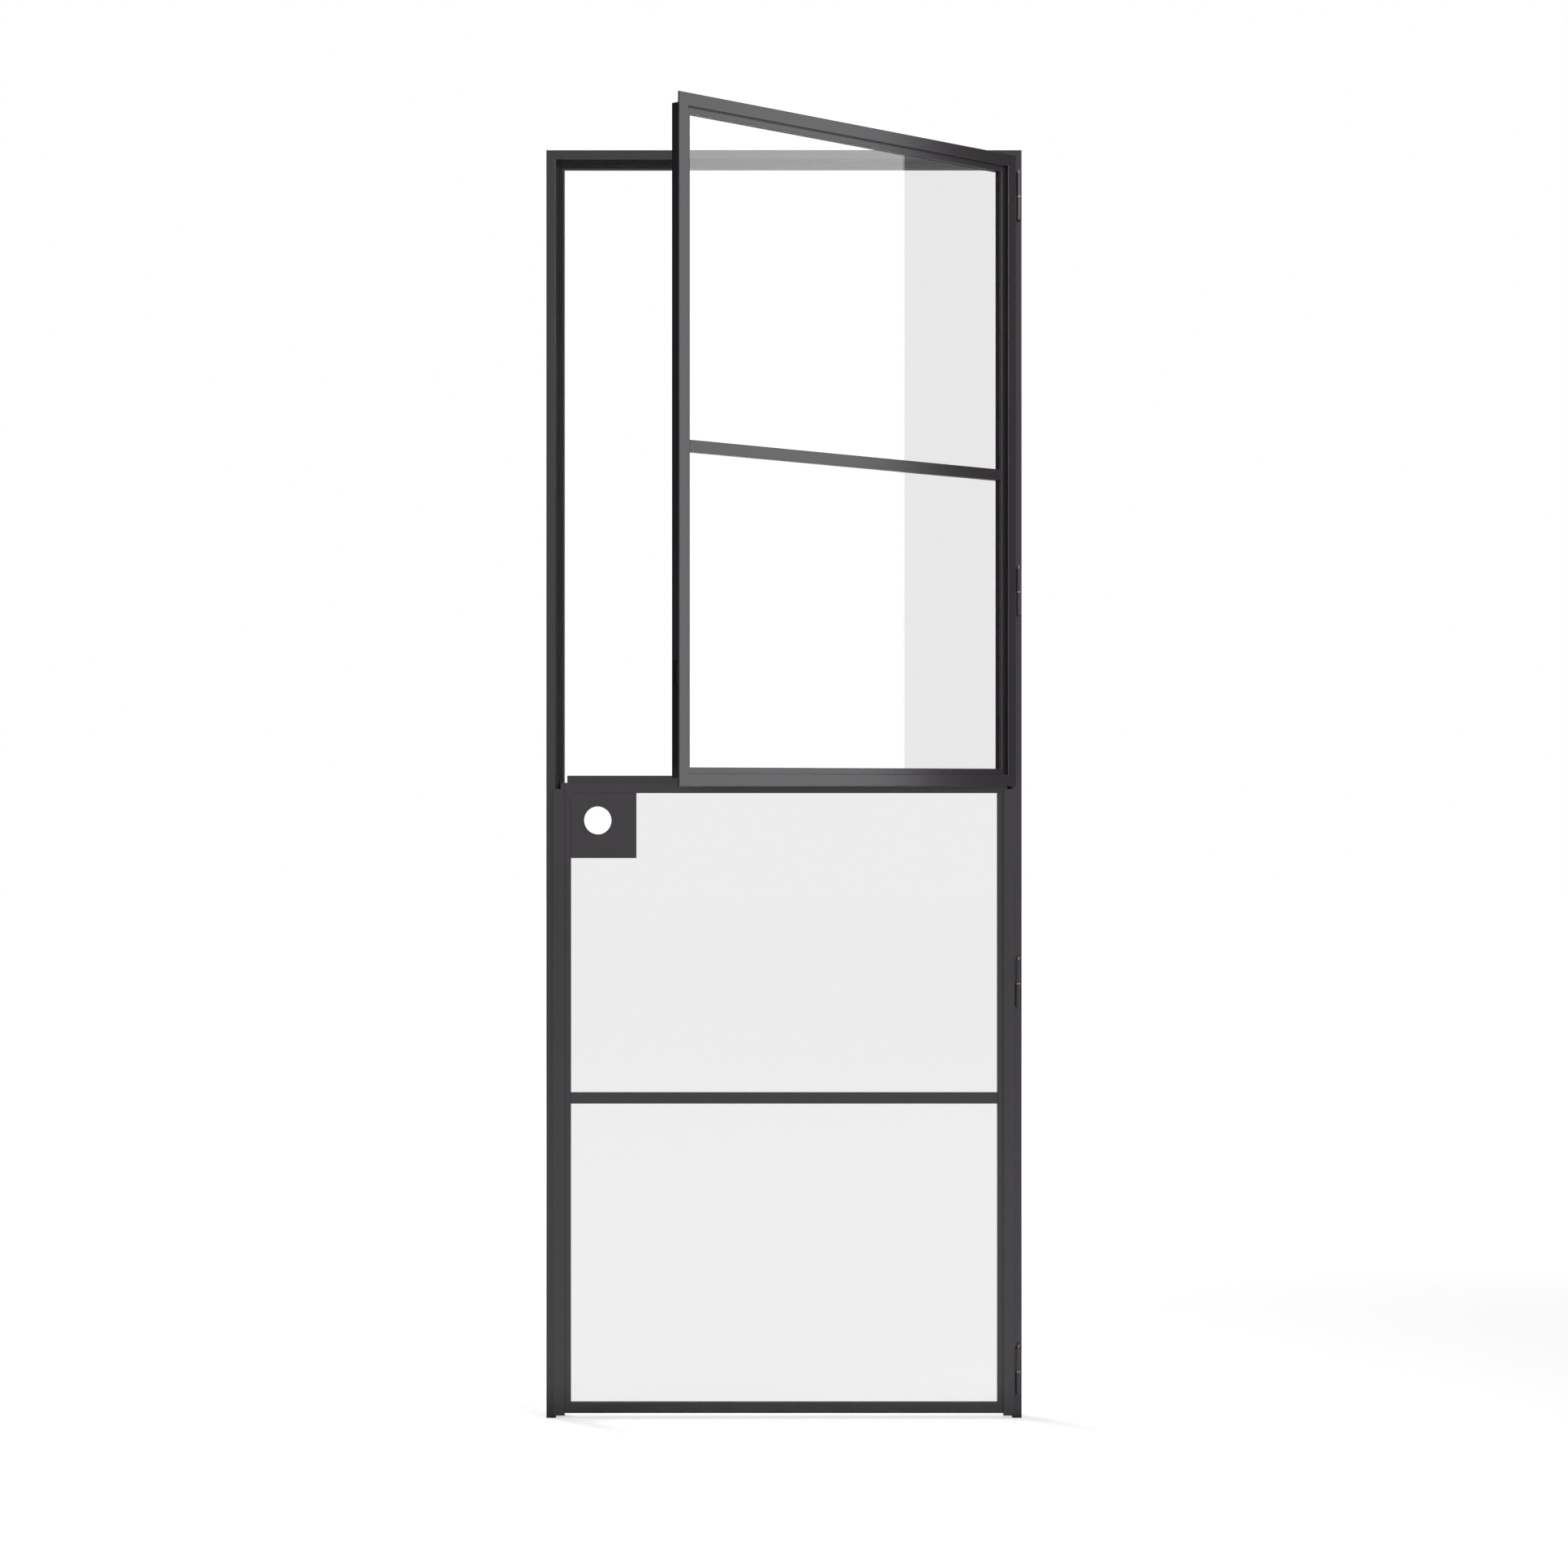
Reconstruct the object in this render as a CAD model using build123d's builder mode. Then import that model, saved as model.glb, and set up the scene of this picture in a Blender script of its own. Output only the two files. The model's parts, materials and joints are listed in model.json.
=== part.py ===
from build123d import *
from math import sqrt
import os

# Dutch door of rebated steel profiles, glazed in both leaves and hung in a steel tube frame.
# X runs across the door, Y into its depth and Z up. The origin is the centre of the outer
# face of the hinge jamb. All sizes are in millimetres.

os.makedirs("parts", exist_ok=True)

# Frame
door_width = 914.4
door_height = 2438.4
frame_face = 18.0
frame_depth = 36.0
tube_wall = 2.0
tube_radius = 1.5
stop_width = 15.4
stop_thickness = 3.0

# Gasket strips: a base with round ribs on it
gasket_ribs = 3
gasket_rib_pitch = 3.5
gasket_rib_height = 1.0
gasket_base = 1.0
gasket_inset = 2.0

# Gaps between what moves and what stays, and to the floor
swing_gap = 5.0
side_gap = 9.9
meeting_gap = 7.8
floor_gap = 9.2
flange_floor_gap = 5.7

# Leaf profile, as seen in section
flange_lap = 4.9
flange_width = 22.6
flange_thickness = 3.0
body_width = 19.0
lip_depth = 7.8
web_width = 8.2
edge_radius = 1.0

# Leaves. The meeting height is that of the lower leaf's top above the floor.
meeting_height = 1221.6
lower_rail_width = 20.0
bar_below_meeting = 606.8
bar_above_meeting = 589.1
upper_open_angle = 45.0

# Glazing
bar_width = 21.0
bar_web = 5.0
glass_thickness = 6.0
glass_edge_gap = 2.8
bead_depth = 5.5
bead_chamfer = 1.5

# Meeting stop, an angle behind the lower leaf's top rail
meeting_stop_rise = 13.7

# Plate of the flush bolt in the side of the upper leaf's lock stile
bolt_plate_length = 187.0
bolt_plate_width = 22.0
bolt_plate_thickness = 2.0
bolt_plate_rise = 19.6
finger_slot_length = 38.0
finger_slot_width = 13.0
finger_slot_drop = 27.0

# Lock box, with its sizes from the top corner of the lower leaf's body
lock_box_width = 144.9
lock_box_height = 144.9
lock_box_wall = 1.5
lock_bore_radius = 27.0
latch_bore_radius = 11.1
lock_backset = 70.4
lock_drop = 72.6

# Barrel hinges, two on each leaf
hinge_inset = 91.0
hinge_below_meeting = 385.6
hinge_above_meeting = 366.4
hinge_setback = 6.6
hinge_reach = 8.5
barrel_length = 90.0
barrel_radius = 5.25
barrel_chamfer = 0.6
pin_radius = 3.2
pin_rise = 32.0
pin_clearance = 0.05
pin_end_gap = 1.0
washer_thickness = 1.5
washer_gap = 0.3
jamb_tab_thickness = 3.0
finial_height = 7.0
finial_radius = 2.3
finial_neck_radius = 1.3
finial_base_height = 1.4

# Lines of the frame
floor = -door_height / 2
ceiling = door_height / 2
front = -frame_depth / 2
stop_front = frame_depth / 2 - stop_thickness
opening_left = frame_face - door_width
opening_right = -frame_face
opening_top = ceiling - frame_face
gasket_width = gasket_rib_pitch * gasket_ribs
gasket_front = stop_front - gasket_base - gasket_rib_height

# Lines of the leaves
body_left = opening_left + side_gap
body_right = opening_right - side_gap
leaf_width = body_right - body_left
body_depth = gasket_front - swing_gap - front
body_back = front + body_depth
flange_front = -swing_gap - flange_thickness
overhang = flange_lap + side_gap
flange_edge = body_right + overhang
rebate_width = body_width - web_width
glass_back = lip_depth + glass_thickness
bead_back = glass_back + bead_depth
lower_bottom = floor + floor_gap
lower_top = floor + meeting_height
upper_bottom = lower_top + meeting_gap
upper_top = opening_top - side_gap
lower_flange_top = upper_bottom - overhang - swing_gap
lower_bar = lower_top - bar_below_meeting
upper_bar = lower_top + bar_above_meeting
lock_x = body_left + lock_backset
lock_z = lower_top - lock_drop
lower_hinges = {"bottom": floor + hinge_inset, "lower_middle": lower_top - hinge_below_meeting}
upper_hinges = {"upper_middle": lower_top + hinge_above_meeting, "top": ceiling - hinge_inset}

# The hinge line and the two places of a leaf. Leaves are drawn shut and then swung.
hinge_x = -hinge_setback
hinge_y = front - hinge_reach
hinge_line = Axis((hinge_x, hinge_y, 0), (0, 0, 1))
shut = Location((0, 0, 0))
swung = Location((hinge_x, hinge_y, 0), (0, 0, upper_open_angle)) * Location((-hinge_x, -hinge_y, 0))

UP = (0, 0, 1)
DOWN = (0, 0, -1)
RIGHT = (1, 0, 0)
LEFT = (-1, 0, 0)
DEPTH = (0, 1, 0)
FRONT = (0, -1, 0)


def keep(piece, name):
    """Label a finished piece and write its file."""
    piece.part.label = name
    export_step(piece.part, f"parts/{name}.step")


def placed(place, plane):
    """A plane of a shut leaf, carried to where that leaf stands."""
    return Plane(place * plane.location)


def mitred_outline(width, length, start_cut, end_cut):
    """Front outline of a bar, x inward and y against its run, cut back along its inner edge."""
    with BuildSketch() as outline:
        Polygon((0, 0), (width, -start_cut), (width, end_cut - length), (0, -length), align=None)
    return outline.sketch


def frame_tube(name, corner, inward, run, length, start_cut=0.0, end_cut=0.0):
    """A tube of the frame, with its section inward from its outer face and into the depth."""
    inner_face = frame_face - 2 * tube_wall
    inner_depth = frame_depth - 2 * tube_wall
    with BuildPart() as tube:
        with BuildSketch(Plane(origin=corner, x_dir=inward, z_dir=run)):
            with Locations((frame_face / 2, frame_depth / 2)):
                RectangleRounded(frame_face, frame_depth, tube_radius)
                Rectangle(inner_face, inner_depth, mode=Mode.SUBTRACT)
        extrude(amount=length)
        with BuildSketch(Plane(origin=corner, x_dir=inward, z_dir=DEPTH)):
            add(mitred_outline(frame_face, length, start_cut, end_cut))
        extrude(amount=frame_depth, mode=Mode.INTERSECT)
    keep(tube, name)


def frame_stop(name, corner, inward, run, length, start_cut=0.0, end_cut=0.0):
    """A flat bar along the back of a frame tube, which the leaves shut towards."""
    with BuildPart() as stop:
        with BuildSketch(Plane(origin=corner, x_dir=inward, z_dir=DEPTH)):
            add(mitred_outline(stop_width, length, start_cut, end_cut))
        extrude(amount=stop_thickness)
    keep(stop, name)


def gasket(name, corner, inward, run, length):
    """A rubber strip on a stop, whose round ribs face the leaf."""
    with BuildPart() as strip:
        with BuildSketch(Plane(origin=corner, x_dir=inward, z_dir=run)):
            with BuildLine():
                Polyline((0, -gasket_base), (0, 0), (gasket_width, 0), (gasket_width, -gasket_base))
                for rib in range(gasket_ribs):
                    start = rib * gasket_rib_pitch
                    ThreePointArc(
                        (start, -gasket_base),
                        (start + gasket_rib_pitch / 2, gasket_front - stop_front),
                        (start + gasket_rib_pitch, -gasket_base),
                    )
            make_face()
        extrude(amount=length)
    keep(strip, name)


def body_profile(width):
    """Body of a leaf member, x inward from its outer edge and y into the depth."""
    with BuildSketch() as profile:
        with BuildLine():
            Polyline(
                (0, 0),
                (width, 0),
                (width, lip_depth),
                (web_width, lip_depth),
                (web_width, body_depth),
                (0, body_depth),
                close=True,
            )
        make_face()
        lip_corner = profile.vertices().group_by(Axis.X)[-1].sort_by(Axis.Y)[0]
        fillet(lip_corner, edge_radius)
    return profile.sketch


def flange_profile():
    """Flange in front of a leaf member's body, which laps out over the frame."""
    with BuildSketch() as profile:
        with BuildLine():
            Polyline(
                (-overhang, flange_front),
                (flange_width - overhang, flange_front),
                (flange_width - overhang, 0),
                (0, 0),
                (0, -swing_gap),
                (-overhang, -swing_gap),
                close=True,
            )
        make_face()
        fillet(profile.vertices().group_by(Axis.Y)[0], edge_radius)
    return profile.sketch


def upper_member(name, corner, inward, run, length, with_bolt_pocket=False):
    """A member of the upper leaf, whose body and flange are mitred together at both ends."""
    section = Plane(origin=corner, x_dir=inward, z_dir=run)
    face = Plane(origin=corner, x_dir=inward, z_dir=DEPTH)
    with BuildPart() as member:
        with BuildSketch(placed(swung, section.offset(-overhang))):
            add(body_profile(body_width))
            add(flange_profile())
        extrude(amount=length + 2 * overhang)
        with BuildSketch(placed(swung, face.offset(flange_front))):
            Polygon(
                (-overhang, overhang),
                (body_width, -body_width),
                (body_width, body_width - length),
                (-overhang, -length - overhang),
                align=None,
            )
        extrude(amount=body_depth - flange_front, mode=Mode.INTERSECT)
        if with_bolt_pocket:
            with BuildSketch(bolt_side):
                Rectangle(bolt_plate_length, bolt_plate_width)
            extrude(amount=bolt_plate_thickness, mode=Mode.SUBTRACT)
    keep(member, name)


def lower_stile(name, corner, inward, run, length, flange_start, flange_end, with_latch_bore):
    """A stile of the lower leaf, with a mitred body and a flange that ends square."""
    section = Plane(origin=corner, x_dir=inward, z_dir=run)
    with BuildPart() as stile:
        with BuildSketch(section):
            add(body_profile(body_width))
        extrude(amount=length)
        with BuildSketch(Plane(origin=corner, x_dir=inward, z_dir=DEPTH)):
            add(mitred_outline(body_width, length, lower_rail_width, lower_rail_width))
        extrude(amount=body_depth, mode=Mode.INTERSECT)
        with BuildSketch(section.offset(flange_start)):
            add(flange_profile())
        extrude(amount=flange_end - flange_start)
        if with_latch_bore:
            with BuildSketch(Plane.YZ.offset(body_left)):
                with Locations((front + body_depth / 2, lock_z)):
                    Circle(latch_bore_radius)
            extrude(amount=web_width, mode=Mode.SUBTRACT)
    keep(stile, name)


def lower_rail(name, corner, inward, run, length):
    """A rail of the lower leaf, which has no flange."""
    with BuildPart() as rail:
        with BuildSketch(Plane(origin=corner, x_dir=inward, z_dir=run)):
            add(body_profile(lower_rail_width))
        extrude(amount=length)
        with BuildSketch(Plane(origin=corner, x_dir=inward, z_dir=DEPTH)):
            add(mitred_outline(lower_rail_width, length, body_width, body_width))
        extrude(amount=body_depth, mode=Mode.INTERSECT)
    keep(rail, name)


def glazing_bar(name, height, place):
    """A T bar between the panes, whose web runs on into the rebates of the stiles."""
    start = Plane(origin=(body_left, front, height), x_dir=DOWN, z_dir=RIGHT)
    with BuildPart() as bar:
        with BuildSketch(placed(place, start.offset(body_width))) as face:
            Rectangle(bar_width, lip_depth, align=(Align.CENTER, Align.MIN))
            fillet(face.vertices().group_by(Axis.Y)[0], edge_radius)
        extrude(amount=leaf_width - 2 * body_width)
        with BuildSketch(placed(place, start.offset(web_width))):
            with Locations((0, lip_depth)):
                Rectangle(bar_web, bead_back - lip_depth, align=(Align.CENTER, Align.MIN))
        extrude(amount=leaf_width - 2 * web_width)
    keep(bar, name)


def pane(name, bottom, top, place, notch=None):
    """A pane between two heights of its rebate, with an optional notch at its top left."""
    left = body_left + web_width + glass_edge_gap
    right = body_right - web_width - glass_edge_gap
    with BuildPart() as glass:
        with BuildSketch(placed(place, Plane.XZ.offset(-front - lip_depth))):
            with Locations((left, bottom + glass_edge_gap)):
                Rectangle(right - left, top - bottom - 2 * glass_edge_gap, align=Align.MIN)
            if notch:
                notch_right, notch_bottom = notch
                with Locations((notch_right + glass_edge_gap, notch_bottom - glass_edge_gap)):
                    Rectangle(leaf_width, door_height, align=(Align.MAX, Align.MIN), mode=Mode.SUBTRACT)
        extrude(amount=-glass_thickness)
    keep(glass, name)


def beads(name, runs, place):
    """Glazing beads behind the glass, each with its free edge chamfered.

    Each run is its corner in the rebate, its inward direction, its direction, its length
    and its width.
    """
    with BuildPart() as strips:
        for corner, inward, run, length, width in runs:
            with BuildSketch(placed(place, Plane(origin=corner, x_dir=inward, z_dir=run))):
                with BuildLine():
                    Polyline(
                        (0, glass_back),
                        (width, glass_back),
                        (width, bead_back - bead_chamfer),
                        (width - bead_chamfer, bead_back),
                        (0, bead_back),
                        close=True,
                    )
                make_face()
            extrude(amount=length)
    keep(strips, name)


def hinge_plane(height):
    """An upright plane through the hinge line, with x out from it and y up from a height."""
    return Plane(origin=(hinge_x, hinge_y, height), x_dir=RIGHT, z_dir=FRONT)


def jamb_knuckle(name, height):
    """Lower half of a hinge on its jamb, with the pin that the leaf turns on."""
    shoulder = -washer_thickness / 2
    with BuildPart() as knuckle:
        with BuildSketch(hinge_plane(height)):
            with BuildLine():
                Polyline(
                    (0, -barrel_length / 2),
                    (barrel_radius - barrel_chamfer, -barrel_length / 2),
                    (barrel_radius, -barrel_length / 2 + barrel_chamfer),
                    (barrel_radius, shoulder),
                    (pin_radius, shoulder),
                    (pin_radius, pin_rise - barrel_chamfer),
                    (pin_radius - barrel_chamfer, pin_rise),
                    (0, pin_rise),
                    close=True,
                )
            make_face()
        revolve(axis=hinge_line)
        with BuildSketch(Plane((hinge_x, hinge_y, height - barrel_length / 2 + barrel_chamfer))):
            Rectangle(jamb_tab_thickness, hinge_reach, align=(Align.CENTER, Align.MIN))
        extrude(amount=barrel_length / 2 - barrel_chamfer + shoulder)
    keep(knuckle, name)


def leaf_knuckle(name, height, place):
    """Upper half of a hinge on its leaf, bored from below for the pin."""
    foot = washer_thickness / 2 + washer_gap
    bore_radius = pin_radius + pin_clearance
    tab_corner = (flange_edge, front - swing_gap, height + foot)
    with BuildPart() as knuckle:
        with BuildSketch(hinge_plane(height)):
            with BuildLine():
                Polyline(
                    (0, foot),
                    (barrel_radius, foot),
                    (barrel_radius, barrel_length / 2 - barrel_chamfer),
                    (barrel_radius - barrel_chamfer, barrel_length / 2),
                    (0, barrel_length / 2),
                    close=True,
                )
            make_face()
        revolve(axis=hinge_line)
        with BuildSketch(placed(place, Plane(tab_corner))):
            Rectangle(hinge_x - flange_edge, flange_thickness, align=(Align.MIN, Align.MAX))
        extrude(amount=barrel_length / 2 - barrel_chamfer - foot)
        with BuildSketch(Plane((hinge_x, hinge_y, height + foot))):
            Circle(bore_radius)
        extrude(amount=pin_rise + pin_end_gap - foot, mode=Mode.SUBTRACT)
    keep(knuckle, name)


def washers(name, heights):
    """Bearing washers between the two halves of each hinge."""
    with BuildPart() as rings:
        for height in heights:
            with BuildSketch(Plane((hinge_x, hinge_y, height - washer_thickness / 2))):
                Circle(barrel_radius)
                Circle(pin_radius + pin_clearance, mode=Mode.SUBTRACT)
            extrude(amount=washer_thickness)
    keep(rings, name)


def finials(name, heights):
    """Small turned knobs on the tops of the hinges, each a foot, a neck and a ball."""
    ball_middle = finial_height - finial_radius
    neck_top = ball_middle - sqrt(finial_radius**2 - finial_neck_radius**2)
    with BuildPart() as knobs:
        for height in heights:
            with BuildSketch(hinge_plane(height + barrel_length / 2)):
                with BuildLine():
                    Polyline(
                        (0, finial_height),
                        (0, 0),
                        (finial_radius, 0),
                        (finial_radius, finial_base_height),
                        (finial_neck_radius, finial_base_height),
                        (finial_neck_radius, neck_top),
                    )
                    ThreePointArc(
                        (finial_neck_radius, neck_top),
                        (finial_radius, ball_middle),
                        (0, finial_height),
                    )
                make_face()
            revolve(axis=hinge_line)
    keep(knobs, name)


# Frame tubes, mitred at the head
frame_tube("hinge_jamb", (0, front, ceiling), LEFT, DOWN, door_height, start_cut=frame_face)
frame_tube("lock_jamb", (-door_width, front, floor), RIGHT, UP, door_height, end_cut=frame_face)
frame_tube("head", (-door_width, front, ceiling), DOWN, RIGHT, door_width, frame_face, frame_face)

# Stops along the back of the frame
opening_width = opening_right - opening_left
opening_height = opening_top - floor
hinge_stop_head = (opening_right, stop_front, opening_top)
lock_stop_foot = (opening_left, stop_front, floor)
head_stop_left = (opening_left, stop_front, opening_top)
frame_stop("hinge_jamb_stop", hinge_stop_head, LEFT, DOWN, opening_height, start_cut=stop_width)
frame_stop("lock_jamb_stop", lock_stop_foot, RIGHT, UP, opening_height, end_cut=stop_width)
frame_stop("head_stop", head_stop_left, DOWN, RIGHT, opening_width, stop_width, stop_width)

# Gaskets on the stops. The head's runs across and the jambs' end under it.
gasket_top = opening_top - gasket_inset
side_gasket_top = gasket_top - gasket_width
gasket_left = opening_left + gasket_inset
gasket_right = opening_right - gasket_inset
gasket("hinge_jamb_gasket", (gasket_right, stop_front, side_gasket_top), LEFT, DOWN, side_gasket_top - floor)
gasket("lock_jamb_gasket", (gasket_left, stop_front, floor), RIGHT, UP, side_gasket_top - floor)
gasket("head_gasket", (gasket_left, stop_front, gasket_top), DOWN, RIGHT, gasket_right - gasket_left)

# Lower leaf
lower_height = lower_top - lower_bottom
flange_drop = lower_top - lower_flange_top
flange_foot = floor_gap - flange_floor_gap
lower_stile(
    "lower_lock_stile",
    (body_left, front, lower_bottom),
    RIGHT,
    UP,
    lower_height,
    -flange_foot,
    lower_height - flange_drop,
    with_latch_bore=True,
)
lower_stile(
    "lower_hinge_stile",
    (body_right, front, lower_top),
    LEFT,
    DOWN,
    lower_height,
    flange_drop,
    lower_height + flange_foot,
    with_latch_bore=False,
)
lower_rail("lower_top_rail", (body_left, front, lower_top), DOWN, RIGHT, leaf_width)
lower_rail("lower_bottom_rail", (body_right, front, lower_bottom), UP, LEFT, leaf_width)
glazing_bar("lower_glazing_bar", lower_bar, shut)

# Upper leaf
upper_height = upper_top - upper_bottom
bolt_side = placed(
    swung,
    Plane(
        origin=(body_left, front + body_depth / 2, upper_bottom + bolt_plate_rise + bolt_plate_length / 2),
        x_dir=UP,
        z_dir=RIGHT,
    ),
)
lock_stile_foot = (body_left, front, upper_bottom)
upper_member("upper_lock_stile", lock_stile_foot, RIGHT, UP, upper_height, with_bolt_pocket=True)
upper_member("upper_hinge_stile", (body_right, front, upper_top), LEFT, DOWN, upper_height)
upper_member("upper_top_rail", (body_left, front, upper_top), DOWN, RIGHT, leaf_width)
upper_member("upper_bottom_rail", (body_right, front, upper_bottom), UP, LEFT, leaf_width)
glazing_bar("upper_glazing_bar", upper_bar, swung)

# Plate of the upper leaf's flush bolt, with a finger slot near its top
with BuildPart() as bolt_plate:
    with BuildSketch(bolt_side):
        Rectangle(bolt_plate_length, bolt_plate_width)
        with Locations((bolt_plate_length / 2 - finger_slot_drop, 0)):
            SlotOverall(finger_slot_length, finger_slot_width, mode=Mode.SUBTRACT)
    extrude(amount=bolt_plate_thickness)
keep(bolt_plate, "upper_bolt_plate")

# Rebates of the four panes, and the lock box that takes a corner of one
rebate_left = body_left + web_width
rebate_right = body_right - web_width
lower_rebate = (lower_bottom + web_width, lower_bar - bar_web / 2)
middle_rebate = (lower_bar + bar_web / 2, lower_top - web_width)
third_rebate = (upper_bottom + web_width, upper_bar - bar_web / 2)
top_rebate = (upper_bar + bar_web / 2, upper_top - web_width)
plate_right = body_left + lock_box_width
plate_bottom = lower_top - lock_box_height
box_right = plate_right - rebate_width
box_bottom = plate_bottom + rebate_width

pane("lower_leaf_bottom_pane", *lower_rebate, shut)
pane("lower_leaf_top_pane", *middle_rebate, shut, notch=(box_right, box_bottom))
pane("upper_leaf_bottom_pane", *third_rebate, swung)
pane("upper_leaf_top_pane", *top_rebate, swung)

# Beads. Cross beads run from stile to stile and side beads stand between them.
bar_bead = (bar_width - bar_web) / 2
rail_bead = lower_rail_width - web_width
rebate_span = rebate_right - rebate_left


def cross_beads(low_width, low, high, high_width, left=rebate_left):
    """Beads along the bottom and the top of one pane, the top one from the given left end."""
    return [
        ((rebate_right, front, low), UP, LEFT, rebate_span, low_width),
        ((left, front, high), DOWN, RIGHT, rebate_right - left, high_width),
    ]


def side_beads(low_width, low, high, high_width, left_high=None):
    """Beads up the two sides of one pane, the left one to the given height."""
    foot = low + low_width
    head = high - high_width
    left_head = head if left_high is None else left_high
    return [
        ((rebate_left, front, foot), RIGHT, UP, left_head - foot, rebate_width),
        ((rebate_right, front, head), LEFT, DOWN, head - foot, rebate_width),
    ]


box_beads_across = [((rebate_left, front, box_bottom), DOWN, RIGHT, box_right - rebate_left, rebate_width)]
box_beads_up = [
    (
        (box_right, front, box_bottom - rebate_width),
        RIGHT,
        UP,
        middle_rebate[1] - rail_bead - box_bottom + rebate_width,
        rebate_width,
    )
]
beads(
    "lower_cross_beads",
    cross_beads(rail_bead, *lower_rebate, bar_bead)
    + cross_beads(bar_bead, *middle_rebate, rail_bead, left=box_right)
    + box_beads_across,
    shut,
)
beads(
    "lower_side_beads",
    side_beads(rail_bead, *lower_rebate, bar_bead)
    + side_beads(bar_bead, *middle_rebate, rail_bead, left_high=box_bottom - rebate_width)
    + box_beads_up,
    shut,
)
beads(
    "upper_cross_beads",
    cross_beads(rebate_width, *third_rebate, bar_bead) + cross_beads(bar_bead, *top_rebate, rebate_width),
    swung,
)
beads(
    "upper_side_beads",
    side_beads(rebate_width, *third_rebate, bar_bead) + side_beads(bar_bead, *top_rebate, rebate_width),
    swung,
)

# Lock box: a folded sheet box behind a face plate that laps over the glass like the other members
with BuildPart() as lock_box:
    with BuildSketch(Plane.XZ.offset(-front)):
        with Locations((plate_right, plate_bottom)):
            Rectangle(
                plate_right - body_left - body_width,
                lower_top - lower_rail_width - plate_bottom,
                align=(Align.MAX, Align.MIN),
            )
    extrude(amount=-lip_depth)
    with BuildSketch(Plane.XZ.offset(-front - lip_depth)):
        with Locations((box_right, box_bottom)):
            Rectangle(
                box_right - rebate_left,
                middle_rebate[1] - box_bottom,
                align=(Align.MAX, Align.MIN),
            )
    extrude(amount=lip_depth - body_depth)
    offset(amount=-lock_box_wall, kind=Kind.INTERSECTION, mode=Mode.SUBTRACT)
    with BuildSketch(Plane.XZ.offset(-front)):
        with Locations((lock_x, lock_z)):
            Circle(lock_bore_radius)
    extrude(amount=-body_depth, mode=Mode.SUBTRACT)
    with BuildSketch(Plane.YZ.offset(rebate_left)):
        with Locations((front + body_depth / 2, lock_z)):
            Circle(latch_bore_radius)
    extrude(amount=lock_box_wall, mode=Mode.SUBTRACT)
keep(lock_box, "lock_box")

# Meeting stop: an angle on the back of the lower leaf's top rail that the upper leaf shuts to
meeting_left = opening_left + stop_width + swing_gap
meeting_right = opening_right - stop_width - swing_gap
meeting_top = lower_top + meeting_stop_rise
with BuildPart() as meeting_stop:
    with BuildSketch(Plane(origin=(meeting_left, body_back, meeting_top), x_dir=DOWN, z_dir=RIGHT)):
        height = meeting_stop_rise + web_width
        with BuildLine():
            Polyline(
                (height, 0),
                (height - stop_thickness, 0),
                (height - stop_thickness, swing_gap),
                (0, swing_gap),
                (0, swing_gap + stop_thickness),
                (height, swing_gap + stop_thickness),
                close=True,
            )
        make_face()
    extrude(amount=meeting_right - meeting_left)
keep(meeting_stop, "meeting_stop")

# Hinges
for place, hinges in ((shut, lower_hinges), (swung, upper_hinges)):
    for position, height in hinges.items():
        jamb_knuckle(f"{position}_jamb_knuckle", height)
        leaf_knuckle(f"{position}_leaf_knuckle", height, place)
washers("hinge_washers", [*lower_hinges.values(), *upper_hinges.values()])
finials("lower_finials", lower_hinges.values())
finials("upper_finials", upper_hinges.values())
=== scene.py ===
"""Dutch door of powder coated steel and clear glass, its upper leaf standing open."""
import json
import math

import bpy
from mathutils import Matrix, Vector


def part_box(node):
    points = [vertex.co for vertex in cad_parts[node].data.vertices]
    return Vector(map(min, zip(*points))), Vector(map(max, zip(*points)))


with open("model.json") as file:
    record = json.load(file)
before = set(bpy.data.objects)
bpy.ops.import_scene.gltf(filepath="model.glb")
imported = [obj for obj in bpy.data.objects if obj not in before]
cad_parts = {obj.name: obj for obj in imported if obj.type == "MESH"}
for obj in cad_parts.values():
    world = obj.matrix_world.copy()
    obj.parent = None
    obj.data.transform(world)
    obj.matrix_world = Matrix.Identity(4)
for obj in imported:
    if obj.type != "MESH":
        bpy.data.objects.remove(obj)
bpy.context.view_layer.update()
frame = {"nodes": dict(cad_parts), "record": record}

MM = 0.001

# The door's own lines, from the frame
jamb_low, jamb_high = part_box("hinge_jamb")
lock_low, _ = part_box("lock_jamb")
FLOOR = jamb_low.z
MID_HEIGHT = (jamb_low.z + jamb_high.z) / 2
FRONT = jamb_low.y
DOOR_WIDTH = jamb_high.x - lock_low.x
DOOR_MIDDLE = (jamb_high.x + lock_low.x) / 2

# Camera: it stands straight in front of the door's middle, as in the photograph
LENS_MM = 80.0
SENSOR_MM = 36.0
PHOTO_SIDE_PX = 1932
PHOTO_DOOR_PX = 585.8
VIEW_WIDTH = DOOR_WIDTH * PHOTO_SIDE_PX / PHOTO_DOOR_PX
CAMERA_DISTANCE = VIEW_WIDTH * LENS_MM / SENSOR_MM
CAMERA_REACH = 100

# Colours of the finishes, in sRGB
GRAPHITE = "#302B31"
RUBBER = "#1E1D1E"
BRASS = "#8F8277"
BLACK_STEEL = "#0C0C0D"
GLASS_TINT = "#E9E9E9"

# Linear greys, and white
SHADE_UNDER_GLASS = (0.9, 0.9, 0.9, 1)
FLOOR_PAINT = (0.6, 0.6, 0.6, 1)
WHITE = (1, 1, 1, 1)

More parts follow.
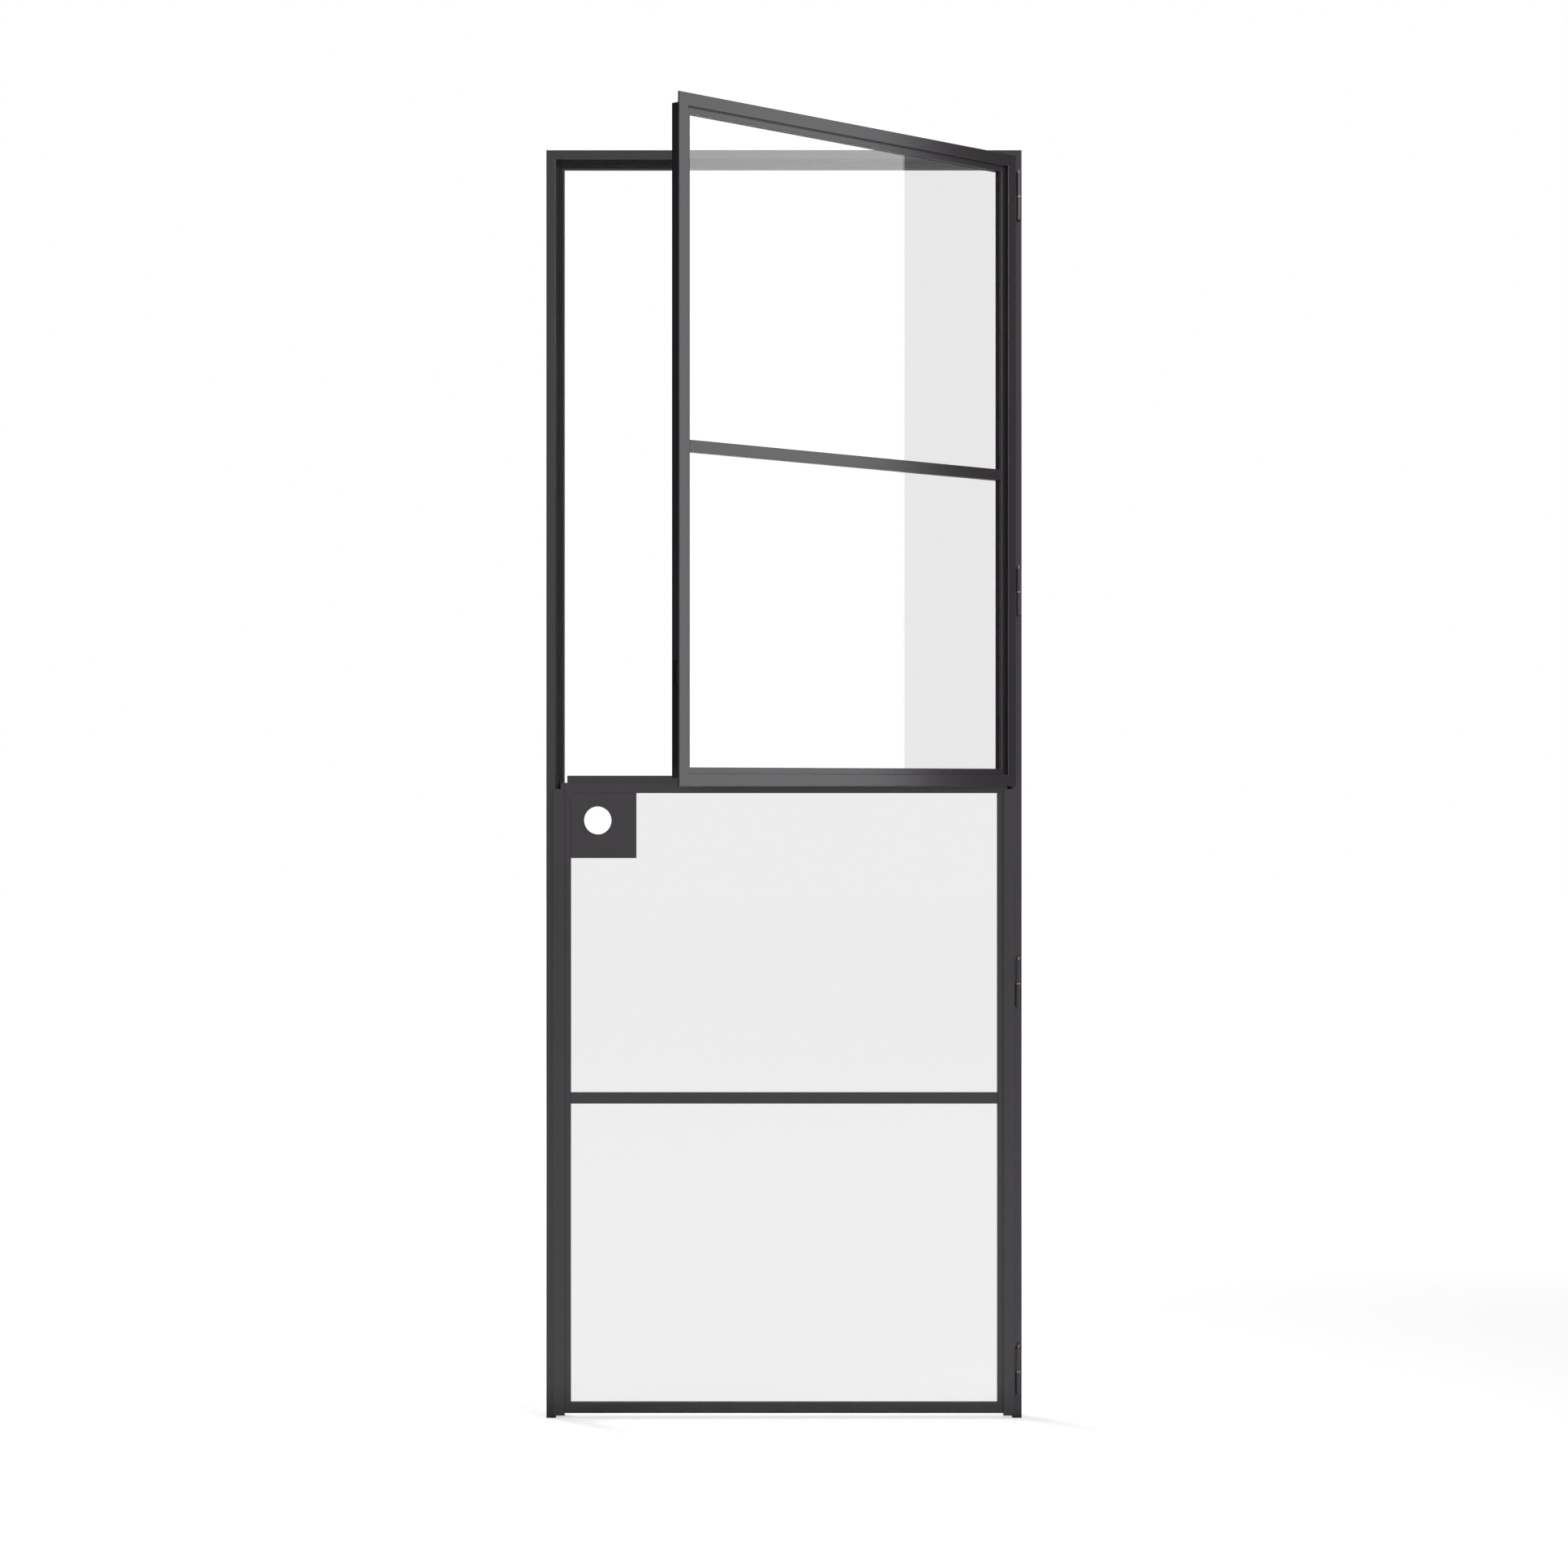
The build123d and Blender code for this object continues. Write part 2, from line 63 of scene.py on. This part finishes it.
# The surround lights the object evenly. In gloss it is bright in front of the door, paler behind it to the
# left and right, and dim at the sides and straight behind, where the photograph's steel edges stay dark.
# The panes, which mirror sharply, show it pale all round.
SURROUND_LEVEL = 0.13
GLOSS_AT_SIDES = 0.15
GLOSS_IN_FRONT = 1.25
GLOSS_IN_PANES = 1.4
GLOSS_BEHIND = 0.5

# Those levels by direction, from 0 straight in front of the door to 1 straight behind it
SURROUND_RAMP = [
    (0.05, GLOSS_IN_FRONT),
    (0.32, GLOSS_AT_SIDES),
    (0.67, GLOSS_AT_SIDES),
    (0.76, GLOSS_BEHIND),
    (0.88, GLOSS_BEHIND),
    (0.93, GLOSS_AT_SIDES),
]

# Lamps, each with its place, its width and height, and its radiance
PANEL_X = 1.6
PANEL_BACK_EDGE = -0.166
PANEL_MID_HEIGHT = 0.84
PANEL_SIZE = (0.82, 2.05)
PANEL_RADIANCE = 3.0
KEY_PLACE = (2.8, -5.6, 2.6)
KEY_SIZE = (1.6, 2.4)
KEY_RADIANCE = 12.5
BACK_PLACE = (-5.0, 4.6, 2.4)
BACK_SIZE = (2.4, 2.4)
BACK_RADIANCE = 22.0

# Floor: how far it reaches, and what is added to its paint for the camera, from near the door to far off
FLOOR_REACH = 30.0
LIFT_NEAR = 1.8
LIFT_FAR = 5.0
FLOOR_LIFT_NEAR = 0.62
FLOOR_LIFT_FAR = 1.0

# What is added to its paint in gloss, so that it goes on as the surround does. The places run from 0 at
# RAMP_REACH in front of the door to 1 as far behind it.
FLOOR_PAINT_IN_GLOSS = 0.25
BRIGHT_FLOOR = GLOSS_IN_FRONT - FLOOR_PAINT_IN_GLOSS
PALER_FLOOR = GLOSS_BEHIND - FLOOR_PAINT_IN_GLOSS
FLOOR_IN_PANES = GLOSS_IN_PANES - FLOOR_PAINT_IN_GLOSS
RAMP_REACH = 10.0
FLOOR_RAMP = [
    (0.475, BRIGHT_FLOOR),
    (0.5, 0.0),
    (0.52, 0.0),
    (0.575, PALER_FLOOR),
    (0.7, PALER_FLOOR),
    (0.8, 0.0),
]


def linear(hex_colour):
    """An sRGB hex colour as linear RGBA: a channel over 12.92 in the dark end, else to the power 2.4."""
    channels = [int(hex_colour[i:i + 2], 16) / 255 for i in (1, 3, 5)]
    return [c / 12.92 if c <= 0.04045 else ((c + 0.055) / 1.055) ** 2.4 for c in channels] + [1.0]


def add_node(tree, kind, settings=None, **inputs):
    """One node with its settings and its inputs, each a value or an output of another node.

    An input called i0, i1 and so on goes by its number, for nodes whose sockets share one name.
    """
    node = tree.nodes.new(kind)
    for key, value in (settings or {}).items():
        setattr(node, key, value)
    for key, value in inputs.items():
        numbered = key[0] == "i" and key[1:].isdigit()
        socket = node.inputs[int(key[1:]) if numbered else key.replace("_", " ")]
        if isinstance(value, bpy.types.NodeSocket):
            tree.links.new(value, socket)
        else:
            socket.default_value = value
    return node


def new_material(name):
    """A material with an empty tree."""
    material = bpy.data.materials.new(name)
    material.use_nodes = True
    tree = material.node_tree
    tree.nodes.clear()
    return material, tree


def powder_coated_steel():
    """Sheet steel under baked polyester powder: a satin film with the fine orange peel of melted grains."""
    peel_width = 2.2 * MM
    peel_depth = 0.1 * MM
    cloud_width = 140 * MM
    material, tree = new_material("powder_coated_steel")
    coordinates = add_node(tree, "ShaderNodeTexCoord").outputs["Object"]
    peel = add_node(tree, "ShaderNodeTexNoise", Vector=coordinates, Scale=1 / peel_width, Detail=2.0)
    cloud = add_node(tree, "ShaderNodeTexNoise", Vector=coordinates, Scale=1 / cloud_width, Detail=3.0)
    roughness = add_node(tree, "ShaderNodeMapRange", Value=cloud.outputs["Fac"], To_Min=0.16, To_Max=0.19)
    bump = add_node(tree, "ShaderNodeBump", Strength=0.12, Distance=peel_depth, Height=peel.outputs["Fac"])
    shader = add_node(
        tree,
        "ShaderNodeBsdfPrincipled",
        Base_Color=linear(GRAPHITE),
        Roughness=roughness.outputs["Result"],
        IOR=1.45,
        Normal=bump.outputs["Normal"],
    )
    add_node(tree, "ShaderNodeOutputMaterial", Surface=shader.outputs[0])
    return material


def float_glass():
    """Clear float glass, flat on both sides. Lamps shine through it with the loss of its two faces."""
    material, tree = new_material("float_glass")
    shader = add_node(
        tree,
        "ShaderNodeBsdfPrincipled",
        Base_Color=linear(GLASS_TINT),
        Roughness=0.0,
        IOR=1.5,
        Transmission_Weight=1.0,
    )
    clear = add_node(tree, "ShaderNodeBsdfTransparent", Color=SHADE_UNDER_GLASS)
    shadow = add_node(tree, "ShaderNodeLightPath").outputs["Is Shadow Ray"]
    glass = add_node(tree, "ShaderNodeMixShader", Fac=shadow, i1=shader.outputs[0], i2=clear.outputs[0])
    add_node(tree, "ShaderNodeOutputMaterial", Surface=glass.outputs[0])
    return material


def extruded_rubber():
    """EPDM seal, extruded: matte black with a faint bloom."""
    bloom_width = 30 * MM
    material, tree = new_material("extruded_epdm_rubber")
    coordinates = add_node(tree, "ShaderNodeTexCoord").outputs["Object"]
    bloom = add_node(tree, "ShaderNodeTexNoise", Vector=coordinates, Scale=1 / bloom_width, Detail=4.0)
    roughness = add_node(tree, "ShaderNodeMapRange", Value=bloom.outputs["Fac"], To_Min=0.55, To_Max=0.75)
    shader = add_node(
        tree,
        "ShaderNodeBsdfPrincipled",
        Base_Color=linear(RUBBER),
        Roughness=roughness.outputs["Result"],
        IOR=1.45,
    )
    add_node(tree, "ShaderNodeOutputMaterial", Surface=shader.outputs[0])
    return material


def turned_brass():
    """Brass bar, turned: fine rings round its axis and a warm satin shine."""
    ring_scale = 1 / (2 * MM)
    ring_depth = 0.05 * MM
    material, tree = new_material("turned_brass")
    coordinates = add_node(tree, "ShaderNodeTexCoord").outputs["Object"]
    rings = add_node(
        tree, "ShaderNodeTexWave", {"bands_direction": "Z"}, Vector=coordinates, Scale=ring_scale
    )
    bump = add_node(tree, "ShaderNodeBump", Strength=0.1, Distance=ring_depth, Height=rings.outputs["Fac"])
    shader = add_node(
        tree,
        "ShaderNodeBsdfPrincipled",
        Base_Color=linear(BRASS),
        Metallic=1.0,
        Roughness=0.3,
        Normal=bump.outputs["Normal"],
    )
    add_node(tree, "ShaderNodeOutputMaterial", Surface=shader.outputs[0])
    return material


def black_steel():
    """Oiled steel coloured near black, much darker than the coating round it."""
    oil_width = 25 * MM
    material, tree = new_material("near_black_steel")
    coordinates = add_node(tree, "ShaderNodeTexCoord").outputs["Object"]
    oil = add_node(tree, "ShaderNodeTexNoise", Vector=coordinates, Scale=1 / oil_width, Detail=3.0)
    roughness = add_node(tree, "ShaderNodeMapRange", Value=oil.outputs["Fac"], To_Min=0.16, To_Max=0.22)
    shader = add_node(
        tree,
        "ShaderNodeBsdfPrincipled",
        Base_Color=linear(BLACK_STEEL),
        Roughness=roughness.outputs["Result"],
        IOR=1.4,
    )
    add_node(tree, "ShaderNodeOutputMaterial", Surface=shader.outputs[0])
    return material


def dress_nodes():
    """Gives each CAD node the finish of its slot in the record."""
    finishes = {
        "graphite_steel": powder_coated_steel(),
        "clear_glass": float_glass(),
        "black_rubber": extruded_rubber(),
        "turned_brass": turned_brass(),
        "black_steel": black_steel(),
    }
    for part in frame["record"]["subparts"]:
        node = frame["nodes"][part["node"]]
        node.data.materials.clear()
        node.data.materials.append(finishes[part["material_slot"]])


def set_ramp(node, levels):
    """Gives a ramp node its grey levels, each at its place from 0 to 1, eased between."""
    ramp = node.color_ramp
    ramp.interpolation = "EASE"
    for place, level in levels[2:]:
        ramp.elements.new(place)
    for element, (place, level) in zip(ramp.elements, levels):
        element.position = place
        element.color = (level, level, level, 1)


def mirrored_sharply(tree, path):
    """1 where a pane mirrors, and nothing rougher than glass does."""
    sharp = add_node(
        tree,
        "ShaderNodeMath",
        {"operation": "MULTIPLY"},
        i0=path["Is Reflection Ray"],
        i1=path["Is Singular Ray"],
    )
    return sharp.outputs[0]


def seen_straight_through(tree, path):
    """1 where the camera looks through glass alone, with no mirror or matte surface on the way."""
    bounces = add_node(tree, "ShaderNodeMath", i0=path["Glossy Depth"], i1=path["Diffuse Depth"])
    straight = add_node(tree, "ShaderNodeMath", {"operation": "LESS_THAN"}, i0=bounces.outputs[0], i1=0.5)
    through = add_node(
        tree,
        "ShaderNodeMath",
        {"operation": "MULTIPLY"},
        i0=path["Is Transmission Ray"],
        i1=straight.outputs[0],
    )
    return through.outputs[0]


def set_world():
    """A pale surround: white where the camera looks at it, also through glass, and dimmer as a light.

    In gloss its level follows the direction across the door's depth, and in the panes it is pale.
    """
    world = bpy.data.worlds.new("surround")
    bpy.context.scene.world = world
    world.use_nodes = True
    tree = world.node_tree
    tree.nodes.clear()
    path = add_node(tree, "ShaderNodeLightPath").outputs
    direction = add_node(tree, "ShaderNodeTexCoord").outputs["Generated"]
    depth = add_node(tree, "ShaderNodeSeparateXYZ", Vector=direction).outputs["Y"]
    share = add_node(tree, "ShaderNodeMapRange", Value=depth, From_Min=-1.0, From_Max=1.0)
    gloss = add_node(tree, "ShaderNodeValToRGB", Fac=share.outputs["Result"])
    set_ramp(gloss, SURROUND_RAMP)
    sharp = mirrored_sharply(tree, path)
    in_panes = add_node(tree, "ShaderNodeMath", {"operation": "MULTIPLY"}, i0=sharp, i1=GLOSS_IN_PANES)
    mirrored = add_node(
        tree,
        "ShaderNodeMath",
        {"operation": "MAXIMUM"},
        i0=gloss.outputs["Color"],
        i1=in_panes.outputs[0],
    )
    glossy = add_node(
        tree, "ShaderNodeMath", {"operation": "GREATER_THAN"}, i0=path["Glossy Depth"], i1=0.5
    )
    lighting = add_node(
        tree, "ShaderNodeMix", Factor=glossy.outputs[0], A=SURROUND_LEVEL, B=mirrored.outputs[0]
    )
    through = seen_straight_through(tree, path)
    seen = add_node(tree, "ShaderNodeMath", {"operation": "MAXIMUM"}, i0=path["Is Camera Ray"], i1=through)
    strength = add_node(tree, "ShaderNodeMix", Factor=seen.outputs[0], A=lighting.outputs["Result"], B=1.0)
    background = add_node(tree, "ShaderNodeBackground", Color=WHITE, Strength=strength.outputs["Result"])
    add_node(tree, "ShaderNodeOutputWorld", Surface=background.outputs[0])


def area_light(name, place, target, size, radiance, in_gloss=True):
    """A soft panel light of a given radiance, out of the camera's sight and, if asked, out of gloss."""
    width, height = size
    data = bpy.data.lights.new(name, "AREA")
    data.shape = "RECTANGLE"
    data.size = width
    data.size_y = height
    data.energy = radiance * math.pi * width * height
    light = bpy.data.objects.new(name, data)
    light.location = place
    light.rotation_euler = (Vector(target) - Vector(place)).to_track_quat("-Z", "Y").to_euler()
    light.visible_camera = False
    light.visible_glossy = in_gloss
    bpy.context.scene.collection.objects.link(light)


def set_lights():
    """A tall panel on the right, whose back edge shows in the open leaf's glass, a key and a back light."""
    door = (DOOR_MIDDLE, 0, 0)
    panel_middle = PANEL_BACK_EDGE - PANEL_SIZE[0] / 2
    panel_place = (PANEL_X, panel_middle, PANEL_MID_HEIGHT)
    straight_left = (0, panel_middle, PANEL_MID_HEIGHT)
    area_light("right_panel", panel_place, straight_left, PANEL_SIZE, PANEL_RADIANCE)
    area_light("key", KEY_PLACE, door, KEY_SIZE, KEY_RADIANCE)
    area_light("back_light", BACK_PLACE, door, BACK_SIZE, BACK_RADIANCE, in_gloss=False)


def floor_paint():
    """Pale matte paint, lifted to white where it is seen, with the door's shadow left on it.

    In gloss it goes on as the surround does: bright in front of the door, paler behind it and plain paint
    between. In the panes it is pale all round, and seen straight through them it is white.
    """
    material, tree = new_material("studio_floor_paint")
    coordinates = add_node(tree, "ShaderNodeTexCoord").outputs["Object"]
    path = add_node(tree, "ShaderNodeLightPath").outputs
    away = add_node(tree, "ShaderNodeVectorMath", {"operation": "LENGTH"}, Vector=coordinates)
    lift = add_node(
        tree,
        "ShaderNodeMapRange",
        {"interpolation_type": "SMOOTHSTEP"},
        Value=away.outputs["Value"],
        From_Min=LIFT_NEAR,
        From_Max=LIFT_FAR,
        To_Min=FLOOR_LIFT_NEAR,
        To_Max=FLOOR_LIFT_FAR,
    )
    lifted = add_node(
        tree,
        "ShaderNodeMath",
        {"operation": "MULTIPLY"},
        i0=path["Is Camera Ray"],
        i1=lift.outputs["Result"],
    )
    depth = add_node(tree, "ShaderNodeSeparateXYZ", Vector=coordinates).outputs["Y"]
    share = add_node(tree, "ShaderNodeMapRange", Value=depth, From_Min=-RAMP_REACH, From_Max=RAMP_REACH)
    gloss = add_node(tree, "ShaderNodeValToRGB", Fac=share.outputs["Result"])
    set_ramp(gloss, FLOOR_RAMP)
    in_gloss = add_node(
        tree,
        "ShaderNodeMath",
        {"operation": "MULTIPLY"},
        i0=path["Is Glossy Ray"],
        i1=gloss.outputs["Color"],
    )
    sharp = mirrored_sharply(tree, path)
    in_panes = add_node(tree, "ShaderNodeMath", {"operation": "MULTIPLY"}, i0=sharp, i1=FLOOR_IN_PANES)
    mirrored = add_node(
        tree, "ShaderNodeMath", {"operation": "MAXIMUM"}, i0=in_gloss.outputs[0], i1=in_panes.outputs[0]
    )
    added = add_node(tree, "ShaderNodeMath", i0=lifted.outputs[0], i1=mirrored.outputs[0])
    matte = add_node(tree, "ShaderNodeBsdfDiffuse", Color=FLOOR_PAINT)
    glow = add_node(tree, "ShaderNodeEmission", Color=WHITE, Strength=added.outputs[0])
    paint = add_node(tree, "ShaderNodeAddShader", i0=matte.outputs[0], i1=glow.outputs[0])
    white = add_node(tree, "ShaderNodeEmission", Color=WHITE, Strength=1.0)
    through = seen_straight_through(tree, path)
    shown = add_node(tree, "ShaderNodeMixShader", Fac=through, i1=paint.outputs[0], i2=white.outputs[0])
    add_node(tree, "ShaderNodeOutputMaterial", Surface=shown.outputs[0])
    return material


def set_stage():
    """A wide pale floor at the jambs' feet."""
    near, far = -FLOOR_REACH, FLOOR_REACH
    corners = [(near, near, FLOOR), (far, near, FLOOR), (far, far, FLOOR), (near, far, FLOOR)]
    mesh = bpy.data.meshes.new("studio_floor")
    mesh.from_pydata(corners, [], [(0, 1, 2, 3)])
    mesh.materials.append(floor_paint())
    floor = bpy.data.objects.new("studio_floor", mesh)
    bpy.context.scene.collection.objects.link(floor)


def set_camera():
    """The photograph's camera: level, straight on, at the door's mid height."""
    data = bpy.data.cameras.new("camera")
    data.lens = LENS_MM
    data.sensor_width = SENSOR_MM
    data.clip_end = CAMERA_REACH
    camera = bpy.data.objects.new("camera", data)
    camera.location = (DOOR_MIDDLE, FRONT - CAMERA_DISTANCE, MID_HEIGHT)
    camera.rotation_euler = (math.radians(90), 0, 0)
    bpy.context.scene.collection.objects.link(camera)
    bpy.context.scene.camera = camera


dress_nodes()
set_world()
set_lights()
set_stage()
set_camera()
bpy.context.scene.view_settings.view_transform = "Standard"
